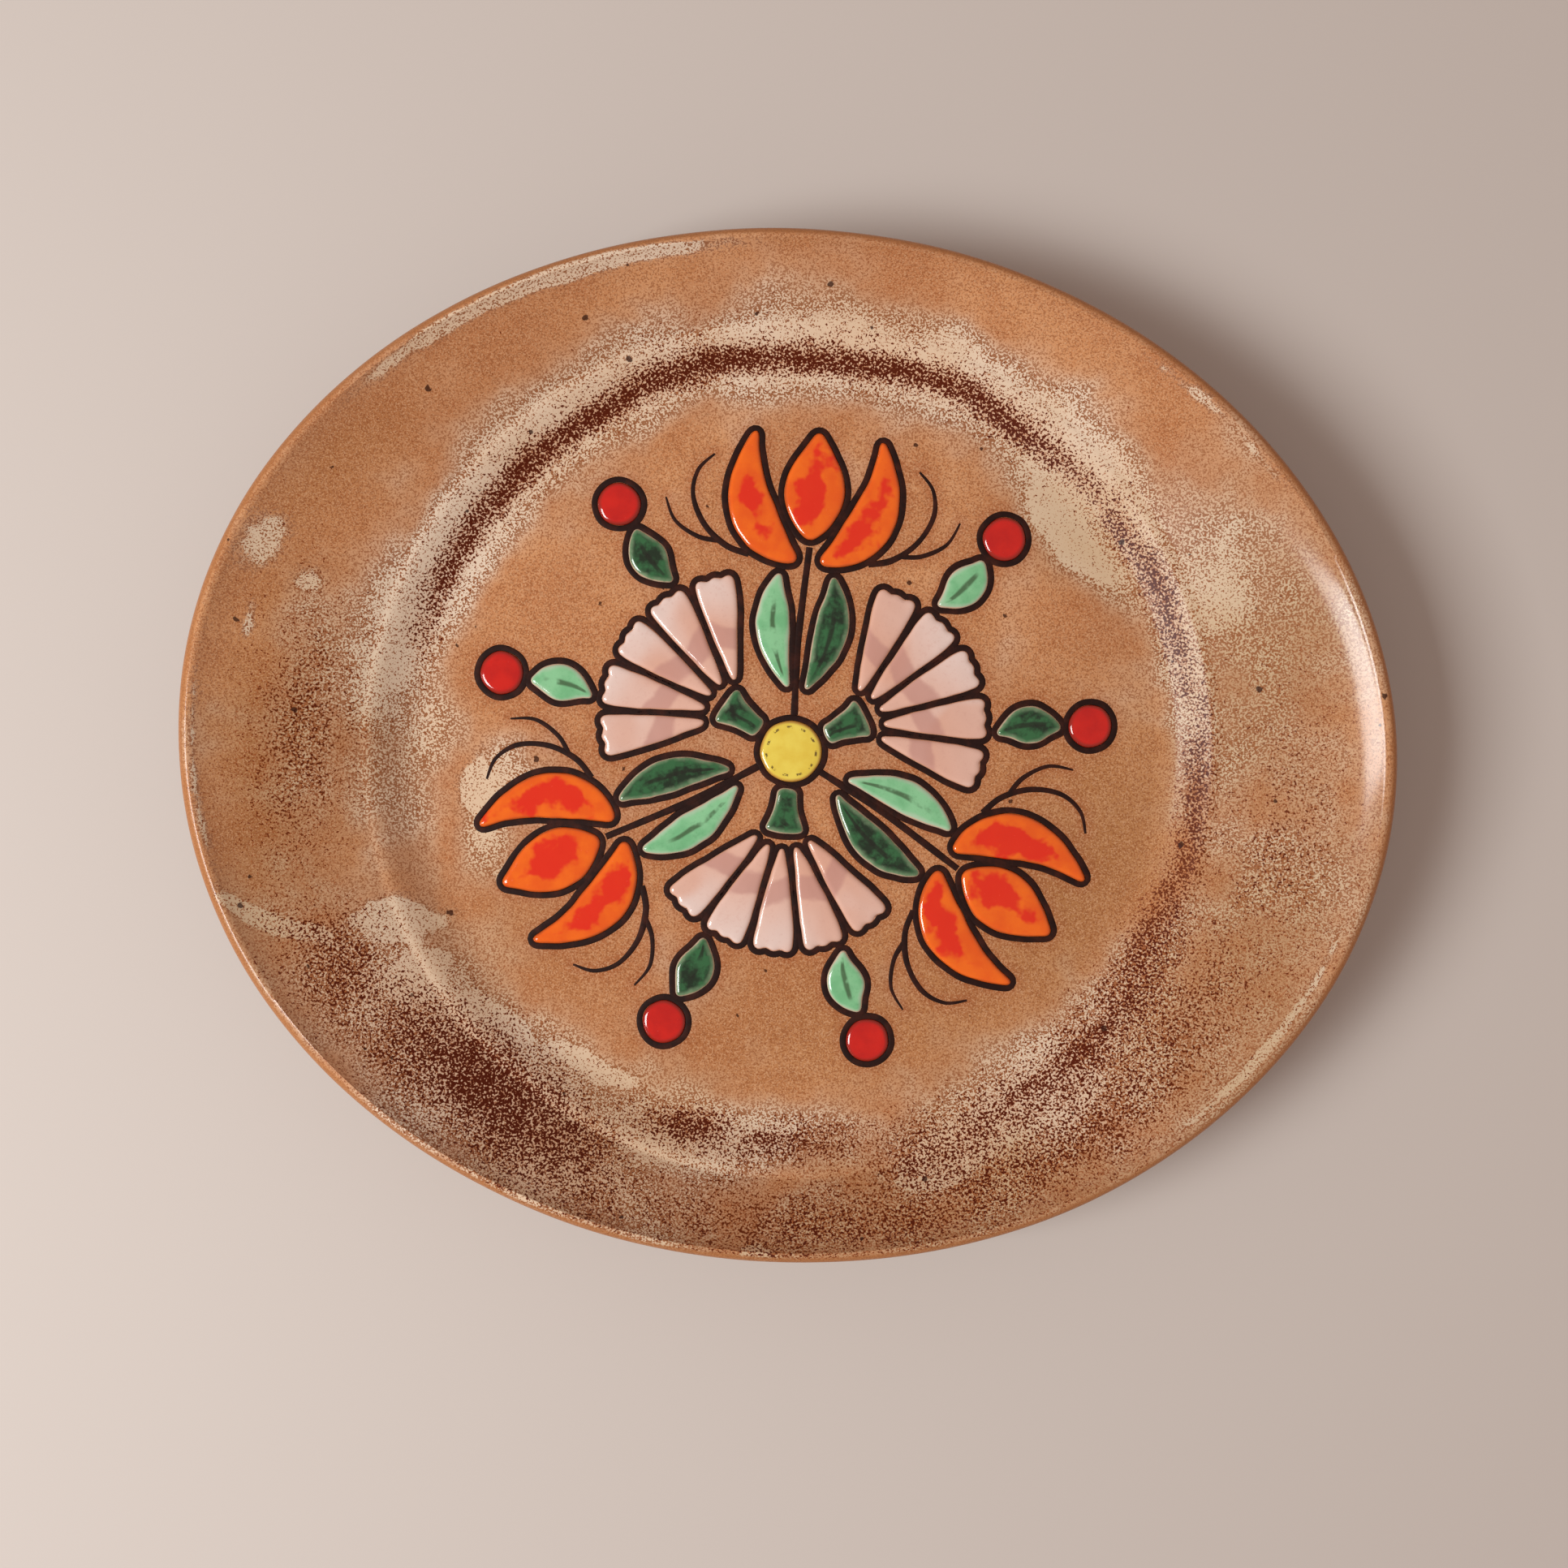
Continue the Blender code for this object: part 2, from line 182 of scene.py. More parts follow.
# Two holes are pierced through the foot ring for the wire before the clay is fired.
bm = bmesh.new()
bmesh.ops.create_cone(
    bm, cap_ends=True, segments=24, radius1=HOLE_RADIUS, radius2=HOLE_RADIUS, depth=2 * FOOT_OUTER,
    matrix=Matrix.Translation(hinge) @ Matrix.Rotation(math.pi / 2, 4, "Y"),
)
rod_mesh = bpy.data.meshes.new("foot_rod")
bm.to_mesh(rod_mesh)
bm.free()
rod = bpy.data.objects.new("foot_rod", rod_mesh)
dish = bpy.data.objects.new("plate_dish_uncut", dish_mesh)
for part in (rod, dish):
    bpy.context.scene.collection.objects.link(part)
pierce = dish.modifiers.new("foot_holes", "BOOLEAN")
pierce.operation = "DIFFERENCE"
pierce.solver = "EXACT"
pierce.object = rod
bpy.context.view_layer.update()
dish_mesh = bpy.data.meshes.new_from_object(dish.evaluated_get(bpy.context.evaluated_depsgraph_get()))
dish_mesh.name = "plate_dish"
for part in (rod, dish):
    bpy.data.objects.remove(part)
dish_mesh.shade_smooth()
dish_mesh.set_sharp_from_angle(angle=math.radians(50))

# Where the glazes lie on the face, in millimetres as the plate hangs: x to the right, y up.
# Bands follow the well: radius, half width, first and last angle, amount. Streaks follow the lip:
# distance inside it, half width, angles, amount. Patches are dabs of glaze: x, y, half length,
# half width, turn, amount. Crisp is cream that lies thick with a sharp edge. The dark wash and shade
# patches darken the colour, partly as a darker wash and partly as painted shade where the light falls
# off towards the right and lower right and on the left of the rim.
HANG_TURN = math.radians(5.2)
BARE_HEIGHT = 0.0016
RING_MIDDLE = (1.6, -0.2)
LOOSE_DRIFT = 7
CRISP_DRIFT = 3
STEADY_DRIFT = 1.5
GLAZE_SEED = 1
CREAM_BANDS = [
    (93, 9.5, 24, 170, 1.0),
    (101, 12, 8, 36, 0.60),
    (92, 6, -4, 30, 0.75),
    (101, 10, -24, 8, 0.45),
    (96, 11, -82, -24, 0.70),
    # Partly real cream and partly painted light: the band at the left of the well is laid thicker to lift the
    # shade on that side of the well.
    (90, 10, 164, 190, 0.75),
]
CREAM_PATCHES = [
    (66, 52, 24, 7, -52, 0.9),
    (-92, 22, 34, 10, 80, 0.8),
    (-66, -78, 50, 17, -40, 0.85),
    (-20, -90, 46, 9, -3, 0.8),
    (5, -106, 34, 8, 4, 0.5),
    (-70, -14, 16, 7, 70, 0.85),
    (60, -88, 28, 9, 38, 0.6),
    (105, -30, 26, 10, 70, 0.5),
    (80, -74, 42, 11, 44, 0.52),
    (110, 14, 46, 18, 86, 0.46),
    (-110, 4, 42, 11, 86, 0.36),
    (100, -58, 46, 20, 60, 0.40),
]
LIP_STREAKS = [
    (3.2, 1.7, 97, 137, 1.0),
    (2.6, 1.2, 172, 190, 0.75),
    (3.0, 1.4, 28, 46, 0.7),
    (3.0, 1.1, -50, -16, 0.62),
]
CRISP_PATCHES = [
    (-118, 48, 10, 6, 60, 0.66),
    (-110, 40, 7, 4, 20, 0.55),
    (-123, 30, 6, 2, 72, 0.6),
    (-116, -38.5, 15, 2.4, -27, 1.0),
    (-91.5, -39, 12, 6, 5, 0.85),
    (-86, -51, 8, 7, 0, 0.9),
    (-70, -62, 13, 5, -35, 0.8),
    (-46, -73, 14, 4, -20, 0.7),
    (-74, -8, 11, 4, 80, 0.75),
    (-62, -27, 12, 4, 10, 0.7),
    (66, 50, 20, 4, -52, 0.7),
    (46, -88, 30, 6, 28, 0.85),
    (-8, -112, 5, 2.6, 0, 1.0),
]
# Painted shade in part: these patches darken the wash where the light falls off towards the right and lower right
# and on the left of the rim.
DARK_WASH_AND_SHADE_PATCHES = [
    (-116, -4, 52, 18, 86, 0.9),
    (-104, 62, 30, 10, 52, 0.5),
    (30, -104, 74, 13, 12, 0.9),
    (102, -50, 48, 22, 62, 0.9),
    (108, 14, 46, 22, 88, 0.85),
    (24, -60, 60, 26, 12, 0.6),
    (66, -30, 42, 26, 62, 0.85),
    (-60, -46, 30, 14, -40, 0.4),
    (68, 51, 26, 9, -52, 0.5),
    (89, 4, 34, 8, 90, 0.6),
]
IRON_BANDS = [
    (91.4, 4.2, 38, 164, 1.0),
    (92, 8.5, 30, 166, 0.40),
    (91, 3.8, 4, 42, 0.92),
    (93, 5.0, -44, 10, 0.90),
    (97, 10, -82, -18, 0.72),
    (95.5, 4.0, -72, -22, 0.90),
    (92, 6.0, -116, -74, 0.75),
    (108, 12.0, -112, -20, 0.68),
]
IRON_PATCHES = [
    (-68, -79, 44, 14, -38, 1.0),
    (-102, -50, 24, 13, -52, 0.72),
    (-23, -87, 13, 5, -8, 0.95),
    (-6, -91, 7, 3, -12, 1.0),
    (32, -95, 20, 8, 10, 0.75),
    (5, -106, 30, 9, 5, 0.65),
    (-112, 4, 40, 15, 85, 0.62),
    (112, -20, 44, 18, 80, 0.45),
]


def swept(x, y, reach, bands, patches):
    """Amount of a glaze at each point, built up from bands at a reach and from dabs."""
    angle = np.degrees(np.arctan2(y, x))
    total = np.zeros_like(x)
    for middle, half, first, last, amount in bands:
        centre = (first + last) / 2
        away = np.abs((angle - centre + 180) % 360 - 180) - (last - first) / 2
        ends = 1 / (1 + np.exp(np.clip(away / 6, -40, 40)))
        total = np.maximum(total, amount * ends * np.exp(-((reach - middle) / half) ** 2))
    for east, north, long, wide, turn, amount in patches:
        slope = math.radians(turn)
        ahead = (x - east) * math.cos(slope) + (y - north) * math.sin(slope)
        aside = (y - north) * math.cos(slope) - (x - east) * math.sin(slope)
        total = np.maximum(total, amount * np.exp(-((ahead / long) ** 2 + (aside / wide) ** 2)))
    return total


def set_field(mesh, name, values):
    """Keep one number for each vertex on a mesh, for its material to read."""
    mesh.attributes.new(name, "FLOAT", "POINT").data.foreach_set("value", values.astype(np.float32))


count = len(dish_mesh.vertices)
places = np.zeros(count * 3, np.float32)
dish_mesh.vertices.foreach_get("co", places)
places = places.reshape(-1, 3).astype(float)
# Blender seeds noise_vector by the clock, so the seed is set, for the glazes here and the lines below.
noise.seed_set(GLAZE_SEED)
drift = np.array([noise.noise_vector(Vector(place) * 38) for place in places])
drift += 0.5 * np.array([noise.noise_vector(Vector(place) * 95 + Vector((9, 4, 2))) for place in places])
level_x = 1000 * (places[:, 0] * math.cos(HANG_TURN) + places[:, 1] * math.sin(HANG_TURN))
level_y = 1000 * (places[:, 1] * math.cos(HANG_TURN) - places[:, 0] * math.sin(HANG_TURN))
loose_x = level_x + LOOSE_DRIFT * drift[:, 0]
loose_y = level_y + LOOSE_DRIFT * drift[:, 1]
crisp_x = level_x + CRISP_DRIFT * drift[:, 0]
crisp_y = level_y + CRISP_DRIFT * drift[:, 1]
steady_x = level_x + STEADY_DRIFT * drift[:, 0]
steady_y = level_y + STEADY_DRIFT * drift[:, 1]
normals = np.zeros(count * 3, np.float32)
dish_mesh.vertices.foreach_get("normal", normals)
upward = normals.reshape(-1, 3)[:, 2]
well_reach = np.hypot(steady_x - RING_MIDDLE[0], steady_y - RING_MIDDLE[1])
oval_x = (places[:, 0] - RIM_SHIFT.x) / (lip_centre_x + WALL / 2)
oval_y = (places[:, 1] - RIM_SHIFT.y) / (lip_centre_y + WALL / 2)
lip_reach = 1000 * lip_centre_y * (1 - np.hypot(oval_x, oval_y))
set_field(dish_mesh, "cream", swept(steady_x, steady_y, well_reach, CREAM_BANDS, CREAM_PATCHES))
set_field(dish_mesh, "crisp", swept(crisp_x, crisp_y, lip_reach, LIP_STREAKS, CRISP_PATCHES))
# Partly a darker wash, partly painted shade where the light falls off.
set_field(dish_mesh, "dark_wash_and_shade", swept(loose_x, loose_y, well_reach, [], DARK_WASH_AND_SHADE_PATCHES))
iron_field = swept(steady_x, steady_y, well_reach, IRON_BANDS, IRON_PATCHES)
set_field(dish_mesh, "iron", iron_field * (upward > -0.05))
set_field(dish_mesh, "under", np.where(upward < -0.05, 1.0, 0.0) * (places[:, 2] < lip_top - WALL))
set_field(dish_mesh, "bare", np.where(places[:, 2] < BARE_HEIGHT, 1.0, 0.0))


def seen(red, green, blue):
    """Colour given as the eye sees it, from 0 to 255, turned into light."""
    shares = [channel / 255 for channel in (red, green, blue)]
    return tuple(s / 12.92 if s <= 0.04045 else ((s + 0.055) / 1.055) ** 2.4 for s in shares) + (1.0,)


class Value:
    """One socket of a material's node tree, with sums on it written as Python."""

    def __init__(self, socket):
        self.socket = socket
        self.tree = socket.id_data

    def node(self, kind, settings=None, sockets=None, output=0):
        """Add a node, set it up, fill its sockets with numbers or links and return one of its outputs."""
        made = self.tree.nodes.new(kind)
        for key, setting in (settings or {}).items():
            setattr(made, key, setting)
        for key, content in (sockets or {}).items():
            if isinstance(content, Value):
                self.tree.links.new(content.socket, made.inputs[key])
            else:
                made.inputs[key].default_value = content
        return Value(made.outputs[output])

    def math(self, operation, first, second):
        return self.node("ShaderNodeMath", {"operation": operation}, {0: first, 1: second})

    def __add__(self, other):
        return self.math("ADD", self, other)

    def __radd__(self, other):
        return self.math("ADD", other, self)

    def __sub__(self, other):
        return self.math("SUBTRACT", self, other)

    def __rsub__(self, other):
        return self.math("SUBTRACT", other, self)

    def __mul__(self, other):
        return self.math("MULTIPLY", self, other)

    def __rmul__(self, other):
        return self.math("MULTIPLY", other, self)

    def over(self, low, high):
        """Rise smoothly from 0 at low to 1 at high."""
        ease = {"interpolation_type": "SMOOTHSTEP"}
        return self.node("ShaderNodeMapRange", ease, {"Value": self, "From Min": low, "From Max": high})

    def tint(self, low, high):
        """Blend from one colour to another as this value goes from 0 to 1."""
        return self.node("ShaderNodeMix", {"data_type": "RGBA"}, {0: self, 6: low, 7: high}, 2)

    def grain(self, scale, detail=2.0, rough=0.5):
        """Cloudy noise on these coordinates, with its features one over scale metres across."""
        return self.node(
            "ShaderNodeTexNoise", None,
            {"Vector": self, "Scale": scale, "Detail": detail, "Roughness": rough},
        )

    def field(self, name):
        """A number that the mesh keeps for each vertex."""
        return self.node("ShaderNodeAttribute", {"attribute_name": name}, None, "Fac")

    def bump(self, strength, distance):
        """Raise the surface by this value."""
        sockets = {"Strength": strength, "Distance": distance, "Height": self}
        return self.node("ShaderNodeBump", None, sockets)


def new_material(name):
    """Make a material and return it with its shader's sockets and its Object coordinates."""
    material = bpy.data.materials.new(name)
    material.use_nodes = True
    shader = material.node_tree.nodes["Principled BSDF"]
    place = material.node_tree.nodes.new("ShaderNodeTexCoord").outputs["Object"]
    return material, shader.inputs, Value(place)


def feed(socket, value):
    """Link a value to one of a shader's sockets."""
    value.tree.links.new(value.socket, socket)


def stoneware_glaze():
    """Cream glaze under a sprayed tan wash, spattered with iron, bare clay on the foot."""
    material, shader, place = new_material("speckled_stoneware_glaze")
    spray = place.grain(2100, 1.5, 0.55)
    drops = place.grain(1850, 1.5, 0.55)
    fine = place.grain(3000, 2.0, 0.6)
    cloud = place.grain(60, 4.0, 0.6)
    broad = place.grain(20, 3.0, 0.55)
    patchy = place.grain(30, 3.0, 0.6)
    ragged = place.grain(140, 3.0, 0.6)
    clumps = place.grain(230, 2.0, 0.6)
    crisp = place.field("crisp") + (cloud - 0.5) * 0.5 + (ragged - 0.5) * 0.7 + (spray - 0.5) * 0.7
    crisp = crisp.over(0.30, 0.58)
    wash = 0.98 - place.field("cream") + (cloud - 0.5) * 0.6 + (patchy - 0.5) * 0.7
    wash = (wash * (1 - crisp * 0.64)).over(-0.1, 1.1)
    melted = wash.over(0.50, 1.0)
    iron = place.field("iron") + (cloud - 0.5) * 0.35 + (clumps - 0.5) * 0.45 + 0.08 - melted * 0.10
    cream = broad.over(0.35, 0.65).tint(seen(217, 190, 161), seen(225, 206, 184))
    # Painted shade in part: the dark wash and shade patches darken the cream and the tan where the light falls
    # off.
    cream = (place.field("dark_wash_and_shade") * 0.7).tint(cream, seen(176, 146, 98))
    tan = broad.over(0.35, 0.68).tint(seen(184, 124, 82), seen(204, 146, 100))
    tan = (cloud.over(0.45, 0.75) * 0.55).tint(tan, seen(174, 110, 70))
    tan = (place.field("dark_wash_and_shade") * 0.75).tint(tan, seen(146, 96, 50))
    tan = (place.field("halo") * 0.55).tint(tan, seen(154, 82, 50))
    ground = melted.tint(cream, tan)
    ground = (iron.over(0.3, 1.1) * 0.28).tint(ground, seen(178, 122, 84))
    misted = (spray - 0.68 + wash * 0.36 - melted * 0.20).over(-0.025, 0.025)
    mist = melted.tint(seen(144, 84, 42), seen(142, 82, 44))
    ground = (misted * (0.9 - melted * 0.30)).tint(ground, mist)
    ground = (fine.over(0.50, 0.62) * melted * 0.50).tint(ground, seen(218, 174, 134))
    rust = (drops - 0.70 + iron * 0.30).over(-0.03, 0.03)
    ground = (rust * 0.75).tint(ground, seen(164, 92, 48))
    spatter = (drops - 0.757 + iron * 0.30).over(-0.02, 0.02)
    ground = (spatter * 0.98).tint(ground, melted.tint(seen(80, 22, 3), seen(104, 46, 16)))
    bent = place.node(
        "ShaderNodeVectorMath", {"operation": "MULTIPLY_ADD"},
        {0: place.node("ShaderNodeTexNoise", None, {"Vector": place, "Scale": 900.0}, "Color"),
         1: (0.0012, 0.0012, 0.0012), 2: place},
    )
    spots = {"Vector": bent, "Scale": 160.0}
    chance = place.node("ShaderNodeTexVoronoi", None, spots, "Color")
    size = chance.over(0.52, 0.84) * 0.115
    speck = (size - place.node("ShaderNodeTexVoronoi", None, spots)).over(-0.012, 0.016)
    ground = (speck * 0.88).tint(ground, seen(54, 22, 13))
    edge = (place.field("lip") + (cloud - 0.5) * 0.4 + (fine - 0.5) * 0.3).over(0.30, 0.62)
    ground = (edge * 0.9).tint(ground, fine.over(0.35, 0.65).tint(seen(180, 122, 78), seen(154, 98, 58)))
    back = fine.over(0.4, 0.6).tint(seen(176, 120, 80), seen(150, 98, 62))
    ground = place.field("under").tint(ground, (spatter * 0.5).tint(back, seen(96, 52, 30)))
    clay = cloud.over(0.3, 0.7).tint(seen(176, 146, 116), seen(150, 120, 92))
    bare = place.field("bare").over(0.3, 0.7)
    feed(shader["Base Color"], bare.tint(ground, clay))
    feed(shader["Roughness"], 0.14 + cloud * 0.08 + spatter * 0.10 + bare * 0.5)
    shader["Specular IOR Level"].default_value = 0.11
    feed(shader["Coat Weight"], place.field("gloss") * 0.5)
    shader["Coat Roughness"].default_value = 0.12
    relief = place.grain(420, 2.0, 0.5) * 0.5 + spatter * 0.25 + fine * 0.15
    feed(shader["Normal"], relief.bump(0.25, 0.0002))
    return material


add_piece("plate_dish", dish_mesh, stoneware_glaze(), "plate", "stoneware_glaze", "plate_body")

# The hanger: one length of galvanised spring wire, bent to an arch with its ends turned out as
# pins. The pins spring into the two holes in the foot ring, and the arch swings on them.
WIRE_RADIUS = 0.0009
BAIL_RADIUS = 0.053
BAIL_BEND = 0.005
PIN_SETBACK = 0.0015
TABLE_GAP = 0.0003


def bail_route():
    """The bent wire in its own plane, from its right pin over the arch to its left pin."""
    start = math.asin(hinge.y / BAIL_RADIUS)
    corner = Vector((BAIL_RADIUS * math.cos(start), 0.0))
    first = start + BAIL_BEND / BAIL_RADIUS
    arch = []
    for step in range(31):
        angle = first + (math.pi / 2 - first) * step / 30
        arch.append(Vector((BAIL_RADIUS * math.cos(angle), BAIL_RADIUS * math.sin(angle) - hinge.y)))
    pin = corner + Vector((BAIL_BEND, 0.0))
    half = [Vector((math.sqrt(FOOT_OUTER ** 2 - hinge.y ** 2) - PIN_SETBACK, 0.0))]
    for step in range(10):
        share = step / 10
        half.append(pin * (1 - share) ** 2 + corner * 2 * share * (1 - share) + arch[0] * share ** 2)
    half += arch
    return half + [Vector((-point.x, point.y)) for point in reversed(half[:-1])]


def tube_mesh(name, routes, sides, caps=True):
    """Sweep round strokes or wires along routes of places and radii, open or closed, as one mesh."""
    curve = bpy.data.curves.new(name, "CURVE")
    curve.dimensions = "3D"
    curve.twist_mode = "Z_UP"
    curve.bevel_depth = 1.0
    curve.bevel_resolution = sides
    curve.use_fill_caps = caps
    for route, radii, closed in routes:
        spline = curve.splines.new("POLY")
        spline.points.add(len(route) - 1)
        spline.use_cyclic_u = closed
        for point, place, radius in zip(spline.points, route, radii):
            point.co = (*place, 1.0)
            point.radius = radius
    holder = bpy.data.objects.new(name, curve)
    bpy.context.scene.collection.objects.link(holder)
    bpy.context.view_layer.update()
    mesh = bpy.data.meshes.new_from_object(holder.evaluated_get(bpy.context.evaluated_depsgraph_get()))
    bpy.data.objects.remove(holder)
    mesh.name = name
    mesh.shade_smooth()
    return mesh


def galvanised_wire():
    """Dull zinc with a spangle, rubbed brighter and browned in spots."""
    material, shader, place = new_material("galvanised_wire")
    spangle = place.grain(900, 3.0, 0.6)
    rust = place.grain(240, 4.0, 0.65).over(0.60, 0.74)
    zinc = spangle.over(0.35, 0.65).tint(seen(150, 150, 148), seen(190, 190, 186))
    feed(shader["Base Color"], (rust * 0.7).tint(zinc, seen(112, 74, 48)))
    feed(shader["Metallic"], 1.0 - rust * 0.6)
    feed(shader["Roughness"], 0.34 + spangle * 0.2 + rust * 0.2)
    feed(shader["Normal"], spangle.bump(0.2, 0.0001))
    return material


reach = BAIL_RADIUS - hinge.y
drop = math.asin((hinge.z - WIRE_RADIUS - TABLE_GAP) / reach)
hang = Matrix.Translation(hinge) @ Matrix.Rotation(-drop, 4, "X")
wire = bail_route()
bail_mesh = tube_mesh(
    "wire_bail", [([(point.x, point.y, 0.0) for point in wire], [WIRE_RADIUS] * len(wire), False)], 4,
)
bail_mesh.transform(hang)
bail_mesh.set_sharp_from_angle(angle=math.radians(50))
add_piece("wire_bail", bail_mesh, galvanised_wire(), "bail", "bail_wire", "hanging_bail")

# The enamels: each cell of the pattern is a pool of coloured glass paste, laid thick with a brush
# between the painted lines and melted in the kiln, so it stands proud with a rounded edge.
POOL_HEIGHT = 0.0007
POOL_EDGE = 0.0012
POOL_SPREAD = 0.0003
POOL_SUNK = 0.0001
POOL_WOBBLE = 0.00022
POOL_ROWS = 48
POOL_COLUMNS = 18


def cell_outline(name):
    """Outline of an enamel cell, softened and drawn by hand, from its foot round to its foot again."""
    bm = bmesh.new()
    bm.from_mesh(frame["nodes"][name].data)
    bmesh.ops.remove_doubles(bm, verts=bm.verts, dist=0.000001)
    bmesh.ops.dissolve_limit(bm, angle_limit=math.radians(1), verts=bm.verts, edges=bm.edges)
    base = min(bm.faces, key=lambda face: face.calc_center_median().z)
    points = [vert.co.xy for vert in base.verts]
    bm.free()
    for _ in range(3):
        cut = []
        for here, ahead in zip(points, points[1:] + points[:1]):
            cut += [here * 0.75 + ahead * 0.25, here * 0.25 + ahead * 0.75]
        points = cut
    drawn = []
    for point in points:
        sway = noise.noise_vector(Vector((point.x, point.y, 0.0)) * 260)
        drawn.append(point + sway.xy * POOL_WOBBLE)
    foot = min(range(len(drawn)), key=lambda index: drawn[index].length)
    return drawn[foot:] + drawn[:foot]


def even_points(route, number):
    """The same route with a number of points spaced evenly along it."""
    route = np.array([tuple(point) for point in route])
    steps = np.hypot(*np.diff(route, axis=0).T)
    length = np.concatenate([[0], np.cumsum(steps)])
    wanted = np.linspace(0, length[-1], number)
    return np.stack([np.interp(wanted, length, route[:, axis]) for axis in (0, 1)], 1)


def edge_distance(points, outline):
    """Distance from each point to the nearest stretch of a closed outline."""
    outline = np.array([tuple(point) for point in outline])
    start = outline[None]
    along = np.roll(outline, -1, 0)[None] - start
    offset = points[:, None] - start
    share = np.clip((offset * along).sum(-1) / np.maximum((along ** 2).sum(-1), 1e-18), 0, 1)
    return np.sqrt(((offset - share[..., None] * along) ** 2).sum(-1)).min(1)


def spread(outline, distance):
    """Move a closed outline outwards by a distance and ease the kinks out of it."""
    line = even_points([*outline, outline[0]], 145)[:-1]
    tangent = np.roll(line, -1, 0) - np.roll(line, 1, 0)
    outward = np.stack([tangent[:, 1], -tangent[:, 0]], 1)
    outward /= np.maximum(np.hypot(*outward.T), 1e-12)[:, None]
    if ((line - line.mean(0)) * outward).sum() < 0:
        outward = -outward
    line = line + outward * distance
    for _ in range(2):
        line = line * 0.5 + (np.roll(line, 1, 0) + np.roll(line, -1, 0)) * 0.25
    return [Vector(point) for point in line]


def pool_mesh(name):
    """Melt one cell of enamel: a grid laid between the two sides of its outline and swelled up."""
    outline = spread(cell_outline(name), POOL_SPREAD)
    tip = max(range(len(outline)), key=lambda index: (outline[index] - outline[0]).length)
    one_side = even_points(outline[:tip + 1], POOL_ROWS + 1)
    other_side = even_points(outline[tip:] + outline[:1], POOL_ROWS + 1)[::-1]
    bm = bmesh.new()
    edge_layer = bm.verts.layers.float.new("edge")
    along_layer = bm.verts.layers.float.new("along")
    aside_layer = bm.verts.layers.float.new("aside")
    made = bmesh.ops.create_grid(bm, x_segments=POOL_ROWS, y_segments=POOL_COLUMNS, size=0.5)
    spots = np.array([(vert.co.x + 0.5, vert.co.y + 0.5) for vert in made["verts"]])
    rows = np.rint(spots[:, 0] * POOL_ROWS).astype(int)
    across = (1 - np.cos(np.pi * spots[:, 1]))[:, None] / 2
    flat = one_side[rows] * (1 - across) + other_side[rows] * across
    depth = edge_distance(flat, outline)
    border = (spots[:, 1] < 1e-6) | (spots[:, 1] > 1 - 1e-6)
    depth[border] = 0
    swell = np.sqrt(1 - (1 - np.clip(depth / POOL_EDGE, 0, 1)) ** 2)
    for vert, (x, y), high, deep in zip(made["verts"], flat, swell, depth):
        sag = noise.noise(Vector((x, y, 0.3)) * 330) * 0.00006 + min(deep, 0.004) * 0.03
        vert.co = (x, y, floor_top - POOL_SUNK + high * (POOL_HEIGHT + POOL_SUNK + sag))
    for vert, deep, row, side in zip(made["verts"], depth, rows, spots[:, 1]):
        vert[edge_layer] = deep * 1000
        vert[along_layer] = row / POOL_ROWS
        vert[aside_layer] = abs(2 * side - 1)
    bmesh.ops.remove_doubles(bm, verts=bm.verts, dist=0.000002)
    rim = [edge for edge in bm.edges if edge.is_boundary]
    bmesh.ops.contextual_create(bm, geom=rim)
    bmesh.ops.recalc_face_normals(bm, faces=bm.faces)
    mesh = bpy.data.meshes.new(name + "_pool")
    bm.to_mesh(mesh)
    bm.free()
    mesh.shade_smooth()
    return mesh


def enamel(name, paint):
    """Glossy glass paste whose colour is painted by the function that is given."""
    material, shader, place = new_material(name)
    cloud = place.grain(180, 3.0, 0.55)
    fine = place.grain(1400, 2.0, 0.6)
    colour = paint(place, cloud, fine)
    pits = (fine - 0.70).over(0.0, 0.05)
    feed(shader["Base Color"], colour)
    feed(shader["Roughness"], 0.07 + cloud * 0.06 + pits * 0.3)
    shader["Coat Weight"].default_value = 0.35
    shader["Coat Roughness"].default_value = 0.04
    feed(shader["Normal"], (cloud * 0.7 + fine * 0.08).bump(0.18, 0.0004))
    return material


def orange_paint(place, cloud, fine):
    edge = place.field("edge")
    warm = cloud.over(0.3, 0.7).tint(seen(228, 88, 8), seen(238, 106, 12))
    warm = (edge + (cloud - 0.5) * 0.8).over(0.1, 0.7).tint(seen(196, 84, 26), warm)
    flush = edge * 0.16 + (place.grain(130, 3.0, 0.55) - 0.5) * 2.6
    return (flush.over(0.36, 0.70) * 0.92).tint(warm, seen(220, 30, 8))


def pink_paint(place, cloud, fine):
    along = place.field("along") + (cloud - 0.5) * 0.10
    pale = along.over(0.25, 0.95).tint(seen(222, 178, 160), seen(226, 204, 196))
    band = along.over(0.24, 0.29) * (1 - along.over(0.44, 0.49))
    pale = (place.grain(48, 1.0).over(0.46, 0.60) * 0.6).tint(pale, seen(214, 160, 136))
    pale = (band * 0.6).tint(pale, seen(184, 132, 124))
    pale = (fine.over(0.55, 0.72) * 0.2).tint(pale, seen(200, 150, 138))
    return (place.field("edge") + (cloud - 0.5) * 0.4).over(0.1, 0.4).tint(seen(210, 156, 128), pale)


def vein(place, cloud):
    """A fine dark stroke up the middle of a leaf, broken where the enamel has run over it."""
    along = place.field("along")
    middle = 1 - (place.field("aside") + (cloud - 0.5) * 0.12).over(0.05, 0.14)
    return middle * along.over(0.10, 0.16) * (1 - along.over(0.66, 0.78)) * cloud.over(0.36, 0.52)


